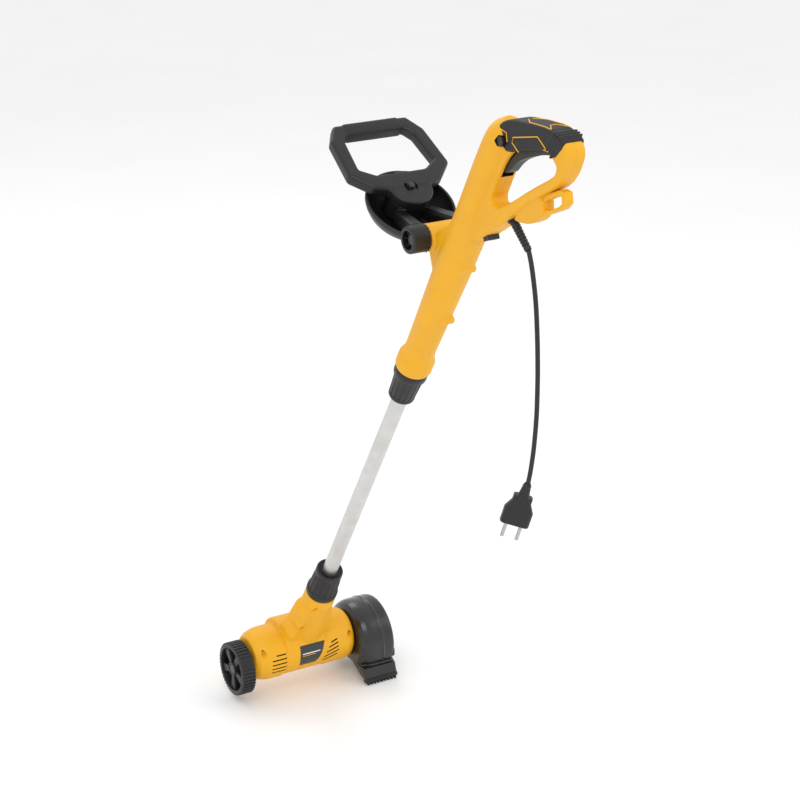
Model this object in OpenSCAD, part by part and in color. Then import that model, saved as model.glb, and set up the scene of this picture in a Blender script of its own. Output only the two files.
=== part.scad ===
// Hand-held electric surface brush for joints and lawn edges.
// The origin is the middle of the rear grip. X runs along the motor, from the wheel to the guard,
// Y points away from the operator and Z is up. The pole leans towards the operator.
// Pole frame: x as above, y forward and square to the pole, z along the pole from the motor axis.

/* [Pole] */
// Angle between the pole and the ground
pole_angle = 59; // [56:0.5:62]
// Radius of the aluminium tube
tube_r = 11; // [10.8:0.1:11.2]
// Wall of the aluminium tube
tube_wall = 1.3; // [1:0.1:2]
// Where the tube starts, inside the motor head
tube_start = 66; // [60:1:70]
// Where the tube ends, inside the handle
tube_end = 760; // [740:1:780]

/* [Motor head] */
// Radius of the motor housing
head_r = 41; // [40:0.5:43]
// Wall of the housing shells
head_wall = 3; // [2:0.5:3.5]
// Left end of the housing
head_left = -92; // [-94:1:-90]
// Right end of the housing
head_right = 77; // [75:1:79]
// Radius of the neck where the lower collar starts
neck_r = 23; // [22:0.5:24]

/* [Wheel and guard] */
// Radius of the guide wheel
wheel_r = 41; // [39:0.5:42]
// Width of the guide wheel
wheel_w = 22; // [20:1:24]
// Outer radius of the guard
guard_r = 60; // [58:1:62]
// Wall of the guard
guard_wall = 3; // [2:0.5:4]
// Left and right faces of the guard
guard_left = 77; // [77:1:79]
guard_right = 134; // [132:1:136]
// Radius of the brush over its bristles
brush_r = 43; // [40:1:45]

/* [Handle] */
// Radius of the end ring of the handle
ring_r = 25; // [24:0.5:26]
// Half thickness of the loop handle
loop_half = 14; // [13:0.5:15]
// Wall of the handle shells
shell_wall = 3; // [2.5:0.5:3.5]
// Half width of the trigger
trigger_half = 8; // [7:0.5:8]

/* [Front handle] */
// Distance of the tilt axis along the pole
tilt_s = 842; // [840:1:844]
// Distance of the tilt axis in front of the pole axis
tilt_y = 45.5; // [45:0.5:46]
// Distance of the swivel axis in front of the pole axis
swivel_y = 130; // [128:1:132]
// Radius of the swivel disc
disc_r = 30; // [28:1:31]
// Radius of the hand guard's rim
bowl_r = 61; // [58:1:62]

/* [Hidden] */
$fn = 64;

tilt = 90 - pole_angle;

// Middle of the grip in the pole frame
grip_fwd = -48;
grip_s = 1096;
grip_y = grip_fwd * cos(tilt) - grip_s * sin(tilt);
grip_z = grip_fwd * sin(tilt) + grip_s * cos(tilt);

yellow = "#f2ae0c";
black = "#2f2d2f";
soft_black = "#262426";
alloy = "#b9b6b2";
steel = "#8d8f92";
copper = "#b06a3a";
brass = "#b59a4a";

// Clearances
fit_gap = 0.05;
free_gap = 0.4;
big = 400;

// Collars and the sleeve inside each one
sleeve_r = 15;
lower_base = 135;
lower_top = 189;
upper_low = 583;
upper_high = 640;
collet_low = 600;

// Tilt joint of the front handle
barrel_r = 17.5;
barrel_half = 22.2;
boss_end = 48;
bolt_r = 4;

// Swivel joint of the front handle
disc_low = 831.4;
disc_high = 846.5;
bar_low = 830.5;
bar_high = 847.5;
swivel_r = 4;

// Raised band of the motor housing, under the label
raised_r = 41.5;
raised_up = 2.5;
raised_left = -41.5;
raised_right = 24;

// Spindle and wheel
spindle_r = 5;
rear_bearing_r = 9;
axle_r = 4;
pinion_teeth = 12;
gear_teeth = 24;
tooth_module = 0.8;
// Drop from the motor axis to the wheel and brush axis
axle_drop = (pinion_teeth + gear_teeth) * tooth_module / 2;

// Body of the handle: radius and distance along the pole
body_profile = [
    [0, 641], [23.5, 641], [ring_r, 643], [ring_r, 661], [21.5, 667], [20.5, 680],
    [24, 830], [24.5, 930], [26, 1000], [26, 1040], [21, 1064], [12, 1076], [0, 1079]
];
body_cavity = [
    [0, 666], [17.5, 666], [17.5, 680], [20.5, 830], [21, 930], [22.5, 1000], [22.5, 1040],
    [17, 1060], [0, 1070]
];
// Loop of the handle, as [forward, along] points
loop_outer = [
    [10, 1050], [8, 1070], [0, 1080], [-14, 1093], [-39, 1111], [-73, 1133], [-94, 1140],
    [-110, 1141], [-120, 1131], [-123, 1110], [-120, 1087], [-99, 1049], [-85, 1023],
    [-71, 993], [-61, 968], [-45, 935], [-28, 905], [0, 880], [10, 1000]
];
loop_hole = [
    [-28, 975], [-45, 980], [-63, 1009], [-82, 1046], [-107, 1089], [-110, 1099],
    [-107, 1107], [-97, 1108], [-88, 1109.5], [-73, 1101], [-58, 1087], [-44, 1073],
    [-32, 1060], [-27, 1040], [-26, 1010]
];
// Swelling under the loop that carries the cord hook
lobe = [
    [-70, 985], [-84, 993], [-99, 1005], [-111, 1023], [-114, 1038], [-104, 1052], [-90, 1040]
];
lobe_half = 9;
trigger_outline = [
    [-24.5, 1020], [-32, 1024], [-36, 1040], [-42, 1054], [-52, 1068], [-63, 1081],
    [-77, 1096], [-90, 1107], [-95, 1113], [-89, 1120], [-72, 1107], [-58, 1093],
    [-46, 1080], [-36, 1066], [-30, 1052], [-26, 1036]
];
trigger_slot = [
    [-10, 1014], [-34, 1012], [-40, 1040], [-60, 1066], [-100, 1104], [-99, 1120],
    [-90, 1127], [-66, 1115], [-50, 1102], [-34, 1088], [-22, 1074], [-13, 1054]
];
trigger_pivot = [-90, 1114];
trigger_pin_r = 2;
grip_top = [
    [4, 1068], [-2, 1080], [-14, 1093], [-39, 1111], [-73, 1133], [-94, 1140], [-106, 1140],
    [-99, 1112], [-86, 1117], [-73, 1104], [-58, 1089], [-44, 1075], [-34, 1064], [-20, 1052]
];
skin = 2.2;
// Ends of the trigger's spring, above the trigger
spring_low = 1.2;
spring_high = 10.2;

// Lock button, rear button, hook and cord exit
button_at = [-13, 1060.5];
rear_button_at = [-40.5, 926];
rear_button_turn = -53;
hook_outer = [[-99, 1052], [-127, 1090], [-142, 1073], [-112, 1030], [-100, 1026]];
hook_hole = [[-104, 1047], [-125.5, 1079], [-134, 1069.5], [-113, 1039]];
hook_half = 6;
cord_exit = [0, 47, -110];
relief_end = [0, 13, -140];
relief_r1 = 5.5;
relief_r2 = 4.5;

// Route of the cord, from inside the strain relief to the neck of the plug
cord_route = [
    [0, 13, -140], [0, 9, -148], [0, 5, -160], [0, 1, -175], [0, -3, -192], [0, -6, -210],
    [0, -8, -230], [0, -10, -250], [0, -11, -270], [0, -12, -290], [0, -12, -310],
    [0, -12, -330], [0, -11, -350], [0, -9, -370], [0, -7, -388], [0, -4, -404],
    [0, -1, -420], [-1, 2, -434]
];
cord_r = 3;
cord_sides = 12;
plug_at = [-1, 2, -434];
plug_turn = -31;
plug_lean = 17;
pin_gap = 19;
pin_r = 2.4;
pin_long = 19;

// ---------- frames and helpers ----------

module machine() {
    translate([0, -grip_y, -grip_z]) children();
}

module on_pole() {
    machine() rotate([tilt, 0, 0]) children();
}

// Extrudes an outline of [forward, along] points across the machine
module across(half) {
    rotate([90, 0, 90]) linear_extrude(height = 2 * half, center = true) children();
}

module x_rod(r, x0, x1) {
    translate([x0, 0, 0]) rotate([0, 90, 0]) cylinder(r = r, h = x1 - x0);
}

module at_tilt() {
    translate([0, tilt_y, tilt_s]) children();
}

module at_swivel() {
    translate([0, swivel_y, 0]) children();
}

module at_axle() {
    machine() translate([0, 0, -axle_drop]) children();
}

module left_half() {
    intersection() {
        children();
        translate([-2 * big, -big, -big]) cube([2 * big, 3 * big, 5 * big]);
    }
}

module right_half() {
    intersection() {
        children();
        translate([0, -big, -big]) cube([2 * big, 3 * big, 5 * big]);
    }
}

module ring(r_out, r_in, z0, z1) {
    difference() {
        translate([0, 0, z0]) cylinder(r = r_out, h = z1 - z0);
        translate([0, 0, z0 - 1]) cylinder(r = r_in, h = z1 - z0 + 2);
    }
}

module x_ring(r_out, r_in, x0, x1) {
    difference() {
        x_rod(r_out, x0, x1);
        x_rod(r_in, x0 - 1, x1 + 1);
    }
}

// Spur gear about X, with a bore
module gear(teeth, width, bore) {
    pitch_r = teeth * tooth_module / 2;
    root_r = pitch_r - 1.35 * tooth_module;
    tip_r = pitch_r + 0.8 * tooth_module;
    half_root = 0.28 * 360 / teeth;
    half_tip = 0.11 * 360 / teeth;
    rotate([0, 90, 0])
        difference() {
            linear_extrude(height = width, center = true)
                polygon([
                    for (
                        i = [0 : teeth - 1],
                        p = [[root_r, -half_root], [tip_r, -half_tip], [tip_r, half_tip],
                            [root_r, half_root]]
                    )
                        let (a = i * 360 / teeth + p[1])
                        p[0] * [cos(a), sin(a)]
                ]);
            cylinder(r = bore, h = width + 2, center = true);
        }
}

// Tube swept along a route lying near the YZ plane
function unit(v) = v / norm(v);
function heading(p, i) = unit(p[min(i + 1, len(p) - 1)] - p[max(i - 1, 0)]);
function rim_point(p, i, a, r) =
    let (d = heading(p, i), u = unit(cross(d, [1, 0, 0])), v = cross(d, u))
    p[i] + r * (cos(a) * u + sin(a) * v);

module swept_tube(route, r, sides) {
    rings = len(route);
    points = [
        for (i = [0 : rings - 1], j = [0 : sides - 1]) rim_point(route, i, j * 360 / sides, r)
    ];
    walls = [
        for (i = [0 : rings - 2], j = [0 : sides - 1])
            let (k = (j + 1) % sides)
            [i * sides + j, (i + 1) * sides + j, (i + 1) * sides + k, i * sides + k]
    ];
    start = [for (j = [0 : sides - 1]) j];
    end = [for (j = [sides - 1 : -1 : 0]) (rings - 1) * sides + j];
    polyhedron(points = points, faces = concat([start], walls, [end]));
}

// ---------- handle ----------

module trigger_space() {
    across(trigger_half + 0.6) polygon(trigger_slot);
}

module bracket() {
    across(18) polygon([[10, 806], [34, 826], [40, 842], [34, 866], [15, 896], [0, 896], [0, 806]]);
    at_tilt() x_rod(barrel_r, -barrel_half, barrel_half);
}

module body_pads() {
    for (s = [752, 847])
        translate([3, -15, s]) cube([24, 20, 8], center = true);
}

module handle_solid() {
    rotate_extrude() polygon(body_profile);
    across(loop_half)
        difference() {
            polygon(loop_outer);
            polygon(loop_hole);
        }
    bracket();
    body_pads();
    across(lobe_half) polygon(lobe);
}

module handle_cavity() {
    rotate_extrude() polygon(body_cavity);
    across(loop_half - shell_wall)
        difference() {
            offset(delta = -shell_wall) polygon(loop_outer);
            offset(delta = shell_wall) polygon(loop_hole);
        }
    trigger_space();
}

module shell_bores() {
    translate([0, 0, 640]) cylinder(r = sleeve_r, h = 30);
    at_tilt() x_rod(bolt_r + fit_gap, -60, 60);
    translate([-40, button_at[0], button_at[1]]) rotate([0, 90, 0]) cylinder(r = 7.5, h = 32);
    translate([0, rear_button_at[0], rear_button_at[1]]) rotate([rear_button_turn, 0, 0])
        cube([17, 13, 24], center = true);
    screw_places() cylinder(r = 2.1, h = 60, center = true);
    screw_places() translate([0, 0, 9]) cylinder(r = 3.8, h = 40);
    translate([0, trigger_pivot[0], trigger_pivot[1]]) x_rod(trigger_pin_r, -11.5, 11.5);
}

module screw_places() {
    places = [
        [16.5, 700], [-17, 880], [17, 930], [17, 1020], [-116.5, 1100], [-96, 1130], [-72, 1012]
    ];
    for (p = places)
        translate([0, p[0], p[1]]) rotate([0, 90, 0]) children();
}

module handle_body() {
    difference() {
        handle_solid();
        difference() {
            handle_cavity();
            screw_places() cylinder(r = 4.5, h = 60, center = true);
            at_tilt() x_rod(bolt_r + 3, -60, 60);
        }
        shell_bores();
        cord_space();
    }
}

module cord_space() {
    rotate([-tilt, 0, 0]) translate([0, grip_y, grip_z])
        along_relief() translate([0, 0, -14]) cylinder(r = relief_r1, h = 40);
}

module handle_shell_left() {
    color(yellow) on_pole() left_half() handle_body();
}

module handle_shell_right() {
    color(yellow) on_pole() right_half() handle_body();
}

module grip_overmould() {
    color(soft_black) on_pole()
        difference() {
            across(loop_half + skin) offset(delta = skin) polygon(grip_top);
            across(loop_half) polygon(loop_outer);
            rotate_extrude() polygon(body_profile);
            trigger_space();
            translate([-40, button_at[0], button_at[1]]) rotate([0, 90, 0]) cylinder(r = 8.2, h = 32);
        }
}

module shell_screws() {
    color(steel) on_pole()
        screw_places()
            union() {
                translate([0, 0, -8]) cylinder(r = 2.1, h = 17.1);
                translate([0, 0, 9]) cylinder(r = 3.6, h = 2.4);
            }
}

module switch_body() {
    color("#3a3a3d") on_pole() translate([0, -2, 1036]) cube([18, 14, 34], center = true);
}

module trigger() {
    color(black) on_pole()
        difference() {
            across(trigger_half) polygon(trigger_outline);
            translate([0, trigger_pivot[0], trigger_pivot[1]])
                x_rod(trigger_pin_r + fit_gap, -10, 10);
        }
}

module trigger_pin() {
    color(steel) on_pole() translate([0, trigger_pivot[0], trigger_pivot[1]])
        x_rod(trigger_pin_r, -11.5, 11.5);
}

module trigger_spring() {
    color(steel) on_pole() translate([0, -57, 1094.5]) rotate([-tilt, 0, 0])
        ring(3, 2.2, spring_low, spring_high);
}

module lock_button() {
    color(black) on_pole() translate([-20.5, button_at[0], button_at[1]]) rotate([0, 90, 0])
        union() {
            cylinder(r = 6.5, h = 9, $fn = 6);
            translate([0, 0, 9]) cylinder(r = 4.5, h = 4);
        }
}

module rear_button() {
    color(black) on_pole()
        translate([0, rear_button_at[0], rear_button_at[1]]) rotate([rear_button_turn, 0, 0])
            cube([16, 12, 10], center = true);
}

module cord_hook() {
    color(yellow) on_pole()
        difference() {
            across(hook_half)
                difference() {
                    polygon(hook_outer);
                    polygon(hook_hole);
                }
            across(loop_half) polygon(loop_outer);
            across(lobe_half) polygon(lobe);
        }
}

// Frame of the strain relief, with z along it and its wide end at z = 0
module along_relief() {
    run = relief_end - cord_exit;
    lean = atan2(-run[2], -run[1]);
    translate(cord_exit) rotate([90 + lean, 0, 0]) children();
}

module strain_relief() {
    long = norm(relief_end - cord_exit);
    color(black)
        along_relief()
            union() {
                cylinder(r1 = relief_r1 - 0.2, r2 = relief_r2, h = long);
                translate([0, 0, -10]) cylinder(r = relief_r1 - 0.3, h = 10.5);
            }
}

module cord() {
    color(soft_black) swept_tube(cord_route, cord_r, cord_sides);
}

module on_plug() {
    translate(plug_at) rotate([0, 0, plug_turn]) rotate([0, plug_lean, 0]) children();
}

module plug_body() {
    color(black) on_plug()
        union() {
            translate([0, 0, -20]) cylinder(r1 = 7.5, r2 = 4.5, h = 20);
            translate([0, 0, -38]) linear_extrude(height = 20)
                polygon([[-12, -7], [12, -7], [12, 7], [-12, 7]]);
            translate([0, 0, -57]) linear_extrude(height = 20)
                polygon([
                    [-18.5, -4], [-15, -8], [15, -8], [18.5, -4], [18.5, 4], [15, 8],
                    [-15, 8], [-18.5, 4]
                ]);
        }
}

module plug_pins() {
    color(steel) on_plug()
        for (side = [-1, 1])
            translate([side * pin_gap / 2, 0, -57 - pin_long]) cylinder(r = pin_r, h = pin_long);
}

// ---------- pole ----------

module pole_collet() {
    color("#3b3b3d") on_pole()
        difference() {
            union() {
                ring(sleeve_r, tube_r + fit_gap, collet_low, 666);
                ring(17.2, tube_r + fit_gap, 667, 676);
                ring(sleeve_r, tube_r + fit_gap, 665, 668);
            }
            for (a = [0, 90])
                rotate(a) translate([-big, -0.75, collet_low - 1]) cube([2 * big, 1.5, 26]);
        }
}

module upper_collar() {
    color(black) on_pole()
        difference() {
            union() {
                translate([0, 0, upper_low]) cylinder(r1 = 17.9, r2 = 20.5, h = 44);
                translate([0, 0, upper_low + 44]) cylinder(r = 23, h = 12.5);
            }
            translate([0, 0, upper_low - 1]) cylinder(r = tube_r + free_gap, h = 60);
            translate([0, 0, collet_low - 1]) cylinder(r = sleeve_r + free_gap, h = 60);
        }
}

module shaft_tube() {
    color(alloy) on_pole() ring(tube_r, tube_r - tube_wall, tube_start, tube_end);
}

module tube_lead() {
    color(soft_black) on_pole() translate([0, 0, 48]) cylinder(r = 3, h = 690);
}

module lower_collar() {
    color(black) on_pole()
        difference() {
            union() {
                translate([0, 0, lower_base]) cylinder(r = 23.5, h = 9);
                translate([0, 0, lower_base + 9]) cylinder(r1 = 21.5, r2 = 18.5, h = 45);
            }
            translate([0, 0, lower_base - 1]) cylinder(r = tube_r + free_gap, h = 60);
            translate([0, 0, lower_base - 1]) cylinder(r = sleeve_r + free_gap, h = 42);
        }
}

// ---------- front handle ----------

module arm(side, grow) {
    hull() {
        translate([side * 33 - 8 - grow, 48 - grow, 828 - grow])
            cube([16 + 2 * grow, 12 + 2 * grow, 28 + 2 * grow]);
        translate([side * 20 - 7 - grow, 104 - grow, 812 - grow])
            cube([14 + 2 * grow, 10 + 2 * grow, 12 + 2 * grow]);
    }
}

module yoke() {
    color(black) on_pole()
        difference() {
            union() {
                at_tilt() x_rod(17.8, -boss_end, -barrel_half - free_gap);
                at_tilt() x_rod(17.8, barrel_half + free_gap, boss_end);
                arm(-1, 0);
                arm(1, 0);
                at_swivel() translate([0, 0, 804]) cylinder(r = 27, h = 27);
            }
            at_tilt() x_rod(barrel_r + 2, -barrel_half - free_gap, barrel_half + free_gap);
            at_tilt() x_rod(bolt_r, -60, 60);
            at_tilt() x_rod(12.5, -60, -36);
            at_tilt() x_rod(12.5, 36, 60);
            at_swivel() translate([0, 0, 790]) cylinder(r = swivel_r, h = 60);
        }
}

module tilt_bolt() {
    color(steel) on_pole() at_tilt()
        union() {
            x_rod(bolt_r, -37, 44);
            x_rod(6.5, -43, -36);
        }
}

module tilt_nut() {
    color(steel) on_pole() at_tilt()
        difference() {
            translate([36, 0, 0]) rotate([0, 90, 0]) cylinder(r = 7.5, h = 7, $fn = 6);
            x_rod(bolt_r, 30, 50);
        }
}

module hand_guard() {
    wall = 2.5;
    color(black) on_pole()
        difference() {
            translate([0, swivel_y - 12, 0]) rotate_extrude()
                polygon([
                    [0, 797], [34, 797], [52, 808], [bowl_r, 824], [bowl_r, 827],
                    [bowl_r - wall, 827], [bowl_r - wall - 1, 824], [50, 810.5],
                    [33, 800], [0, 800]
                ]);
            at_tilt() x_rod(barrel_r + 4, -60, 60);
            arm(-1, 0.5);
            arm(1, 0.5);
            at_swivel() translate([0, 0, 780]) cylinder(r = swivel_r, h = 60);
        }
}

function loop_edge(inset) = [
    [25, -2], [51 - inset, 8], [75 - inset, 33], [70 - inset, 98 - 0.2 * inset],
    [55 - 0.7 * inset, 124 - inset]
];
function both_sides(p) =
    concat(p, [for (i = [len(p) - 1 : -1 : 0]) [-p[i][0], p[i][1]]]);

module front_handle() {
    color(black) on_pole() at_swivel()
        difference() {
            union() {
                translate([0, 0, bar_low]) linear_extrude(height = bar_high - bar_low)
                    difference() {
                        polygon(both_sides(loop_edge(0)));
                        polygon(both_sides([
                            [22, 28], [36, 28], [56, 42], [51, 92], [43, 105]
                        ]));
                    }
                translate([0, 0, disc_low]) cylinder(r = disc_r, h = disc_high - disc_low);
            }
            translate([0, 0, 800]) cylinder(r = 27.5, h = disc_low - 800);
            translate([0, 0, 800]) cylinder(r = swivel_r + fit_gap, h = 60);
        }
}

module front_grip() {
    color(soft_black) on_pole() at_swivel()
        difference() {
            translate([-40, 103, bar_low - 2]) cube([80, 23, bar_high - bar_low + 4]);
            translate([-41, 105, bar_low]) cube([82, 19, bar_high - bar_low]);
        }
}

module swivel_screw() {
    color(soft_black) on_pole() at_swivel()
        union() {
            translate([0, 0, 792]) cylinder(r = swivel_r, h = 57);
            translate([0, 0, bar_high + 0.5]) cylinder(r = 9, h = 4.5);
            translate([0, 0, 792]) cylinder(r = 7, h = 4.9);
        }
}

// ---------- motor head ----------

module head_solid() {
    machine()
        rotate([0, 90, 0]) rotate_extrude()
            polygon([
                [0, head_left], [31, head_left], [38, head_left + 8], [head_r, head_left + 18],
                [head_r, head_right - 12], [37, head_right - 3], [30, head_right],
                [0, head_right]
            ]);
    machine() translate([0, 0, raised_up]) x_rod(raised_r, raised_left, raised_right);
    on_pole()
        union() {
            translate([0, 0, 20]) cylinder(r1 = 25, r2 = neck_r, h = lower_base - 20.4);
            rotate([90, 0, 0]) linear_extrude(height = 34, center = true)
                polygon([
                    [-46, 22], [-45, 56], [-36, 66], [-29, 84], [-25, 110], [22, 110], [30, 60],
                    [44, 25]
                ]);
            translate([0, 0, 120]) cylinder(r = sleeve_r, h = 56);
        }
}

module head_bosses() {
    machine() x_rod(13, head_left, -76);
    at_axle() x_rod(17.5, 62, head_right);
    at_axle() x_rod(8, head_left, -78);
    head_screw_places() cylinder(r = 4.5, h = 90, center = true);
}

module head_cavity() {
    inner = head_r - head_wall;
    machine()
        rotate([0, 90, 0]) rotate_extrude()
            polygon([
                [0, head_left + 4], [30, head_left + 4], [inner, head_left + 19],
                [inner, head_right - 13], [33, head_right - 5], [0, head_right - 5]
            ]);
    on_pole() translate([0, 0, 30]) cylinder(r = 9, h = tube_start - 30);
    on_pole() translate([0, 0, tube_start]) cylinder(r = tube_r, h = 200);
}

module head_body() {
    difference() {
        head_solid();
        difference() {
            head_cavity();
            head_bosses();
        }
        machine() x_rod(9.5, -83, -70);
        machine() x_rod(6, -86, -70);
        at_axle() x_rod(13, 61, 72);
        at_axle() x_rod(spindle_r + 3, 60, 90);
        at_axle() x_rod(axle_r, head_left - 10, head_left + 8);
        head_screw_places() cylinder(r = 2, h = 90, center = true);
        head_screw_places() translate([0, 0, 15]) cylinder(r = 3.8, h = 60);
        at_axle() guard_screw_places() translate([0, 0, -4.6]) cylinder(r = 2, h = 10);
    }
}

module head_screw_places() {
    on_pole()
        for (p = [[-80, 31], [65, 31], [-27, 76], [-16, 120]])
            translate([p[0], 0, p[1]]) rotate([90, 0, 0]) children();
}

module head_shell_rear() {
    color(yellow)
        intersection() {
            head_body();
            on_pole() translate([-big, -big, -big]) cube([2 * big, big, 2 * big]);
        }
}

module head_shell_front() {
    color(yellow)
        intersection() {
            head_body();
            on_pole() translate([-big, 0, -big]) cube([2 * big, big, 2 * big]);
        }
}

module head_screws() {
    color(steel) head_screw_places()
        union() {
            translate([0, 0, -8]) cylinder(r = 2, h = 23.1);
            translate([0, 0, 15]) cylinder(r = 3.6, h = 2.4);
        }
}

module label_plate() {
    color("#16201f") machine() translate([0, 0, raised_up])
        difference() {
            rotate([0, 90, 0]) rotate([0, 0, 180]) translate([0, 0, -22])
                rotate_extrude(angle = 48, start = 66) translate([raised_r, 0]) square([0.6, 38]);
            x_rod(raised_r, -30, 30);
            translate([0, 0, -raised_up]) union() {
                x_rod(head_r, -30, 30);
                rotate([tilt, 0, 0]) cylinder(r = 25.4, h = 200);
            }
        }
}

module stator() {
    color(steel) machine() x_ring(32, 19, -48, -2);
}

module brush_holders() {
    color(brass) machine()
        for (side = [-1, 1])
            translate([-64, side * 20, 0]) cube([9, 14, 7], center = true);
}

module armature() {
    color(copper) machine()
        union() {
            x_rod(18, -46, -4);
            x_rod(4, -84, 38);
        }
    color(steel) machine() translate([43, 0, 0]) union() {
        gear(pinion_teeth, 12, 1.5);
        x_rod(2, -6, 6);
    }
}

module commutator() {
    color(copper) machine() x_ring(12, 4, -69, -52);
}

module fan() {
    color(black) machine()
        union() {
            x_ring(9, 4, 4, 14);
            for (i = [0 : 8])
                rotate([i * 40, 0, 0]) translate([4, 8, -0.8]) cube([9, 24, 1.6]);
        }
}

module motor_bearings() {
    color(steel) machine()
        union() {
            x_ring(9.5, 4 + fit_gap, -83, -77);
            x_ring(rear_bearing_r, 4 + fit_gap, 24, 30);
        }
}

module gear_plate() {
    color(alloy) machine()
        difference() {
            x_ring(37.5, rear_bearing_r, 22, 31);
            translate([0, 0, -axle_drop]) x_rod(spindle_r + fit_gap, 20, 40);
            x_rod(34, 20, 26);
        }
}

module spindle() {
    color(steel) at_axle() x_rod(spindle_r, 27.5, 128);
}

module spindle_gear() {
    color(steel) at_axle() translate([43, 0, 0]) rotate([180 / gear_teeth, 0, 0])
        gear(gear_teeth, 11, spindle_r);
}

module spindle_bearing() {
    color(steel) at_axle() x_ring(13, spindle_r + fit_gap, 62, 72);
}

module brush_hub() {
    color("#b08d3c") at_axle() x_ring(17, spindle_r, 86, 126);
}

module brush_bristles() {
    color("#9b8a5a") at_axle() x_ring(brush_r, 17, 90, 122);
}

module spindle_nut() {
    color(steel) at_axle()
        difference() {
            translate([126, 0, 0]) rotate([0, 90, 0]) cylinder(r = 9, h = 5, $fn = 6);
            x_rod(spindle_r, 120, 140);
        }
}

module guard_window() {
    translate([0, -guard_r - 20, -guard_r - 40]) cube([big, 2 * guard_r + 40, 40 + guard_r - 26]);
}

module guard() {
    color(black) at_axle()
        difference() {
            union() {
                difference() {
                    x_rod(guard_r, guard_left, guard_right);
                    x_rod(guard_r - guard_wall, guard_left + 3, guard_right - 3);
                    x_rod(guard_r - 12, guard_left + 10, guard_right + 1);
                    x_rod(10, guard_left - 1, guard_left + 10);
                    guard_window();
                }
                translate([guard_left, 0, 0]) rotate([90, 0, 90]) linear_extrude(height = 3)
                    polygon([[-54, -26], [-64, -42], [-52, -42], [-20, -26]]);
                translate([guard_left + 1, 0, 0]) rotate([90, 0, 90])
                    linear_extrude(height = guard_right - guard_left - 1)
                    polygon([[-54, -26], [-64, -42], [-58, -44], [-50, -26]]);
            }
            guard_screw_places() cylinder(r = 2, h = 30, center = true);
        }
}

module guard_screw_places() {
    for (a = [30, 150, 270])
        translate([guard_left, 14 * cos(a), 14 * sin(a)]) rotate([0, 90, 0]) children();
}

module guard_flap() {
    teeth = 7;
    pitch = (guard_right - guard_left - 3) / teeth;
    color(soft_black) at_axle() translate([guard_left + 1, 0, 0])
        union() {
            rotate([90, 0, 90]) linear_extrude(height = guard_right - guard_left - 1)
                polygon([[-64.2, -42.1], [-67, -44], [-64, -48], [-57, -46], [-58, -44.1]]);
            for (i = [0 : teeth - 1])
                translate([i * pitch + 2, -67, -52]) cube([pitch * 0.6, 6, 6]);
        }
}

module guard_screws() {
    color(steel) at_axle()
        guard_screw_places()
            union() {
                translate([0, 0, -4.5]) cylinder(r = 2, h = 7.6);
                translate([0, 0, 3]) cylinder(r = 3.8, h = 2);
            }
}

module wheel() {
    spokes = 5;
    hub_r = 11;
    rim_in = wheel_r - 8;
    x1 = head_left - 4.5;
    x0 = x1 - wheel_w;
    color(black) at_axle()
        difference() {
            x_rod(wheel_r, x0, x1);
            x_rod(axle_r + fit_gap, x0 - 1, x1 + 1);
            x_rod(8, x0 - 1, x0 + 5);
            for (i = [0 : spokes - 1])
                rotate([i * 360 / spokes, 0, 0])
                    translate([x0 - 1, 0, 0]) rotate([90, 0, 90]) linear_extrude(height = wheel_w + 2)
                        polygon([
                            [-2.5, hub_r + 2], [2.5, hub_r + 2],
                            [rim_in * sin(24), rim_in * cos(24)], [0, rim_in],
                            [-rim_in * sin(24), rim_in * cos(24)]
                        ]);
        }
}

module wheel_axle() {
    x1 = head_left - 4.5;
    x0 = x1 - wheel_w;
    color(steel) at_axle()
        union() {
            x_rod(axle_r, x0 + 2, head_left + 8);
            x_rod(7, x0 + 1, x0 + 4.4);
            x_rod(9, x1 + 0.4, head_left);
        }
}

handle_shell_left();
handle_shell_right();
grip_overmould();
shell_screws();
switch_body();
trigger();
trigger_pin();
trigger_spring();
lock_button();
rear_button();
cord_hook();
strain_relief();
cord();
plug_body();
plug_pins();
pole_collet();
upper_collar();
shaft_tube();
tube_lead();
lower_collar();
tilt_bolt();
tilt_nut();
yoke();
hand_guard();
front_handle();
front_grip();
swivel_screw();
head_shell_rear();
head_shell_front();
head_screws();
label_plate();
stator();
brush_holders();
armature();
commutator();
fan();
motor_bearings();
gear_plate();
spindle();
spindle_gear();
spindle_bearing();
brush_hub();
brush_bristles();
spindle_nut();
guard();
guard_flap();
guard_screws();
wheel();
wheel_axle();
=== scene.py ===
"""Looks of a corded surface brush and lawn edger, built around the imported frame.

Shapes are made in millimetres in one of three working frames, and placed by that frame's matrix:
MACHINE has its origin on the motor axis under the pole, POLE has z along the pole, y forward and
square to it, and AXLE has its origin on the wheel and brush axis.
"""

from math import cos, pi, radians, sin

import bmesh
import bpy
from mathutils import Matrix, Vector


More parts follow.
